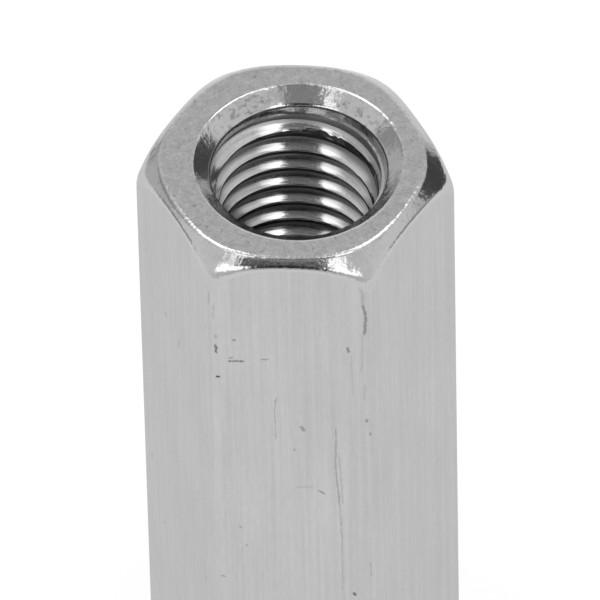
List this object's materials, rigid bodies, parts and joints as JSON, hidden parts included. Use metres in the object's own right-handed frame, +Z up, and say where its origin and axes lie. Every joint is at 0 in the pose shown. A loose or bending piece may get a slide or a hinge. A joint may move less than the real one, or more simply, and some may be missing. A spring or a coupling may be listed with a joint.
{
  "type": "coupling nut",
  "caption": "Long hexagonal coupling nut with a threaded hole right through it, a countersink at each end and chamfered corners, for joining threaded rods end to end.",
  "frame": {"origin": "middle of the lower end face, on the axis of the threaded hole", "axes": "+Z up along the threaded hole, -Y out of one of the flats, +X out of the corner to the right of that flat"},
  "size_m": [0.0218, 0.019, 0.05],
  "materials": {
    "steel": "satin drawn flats, turned ends"
  },
  "bodies": {
    "root": {"coupling_nut": "steel"}
  },
  "joints": []
}
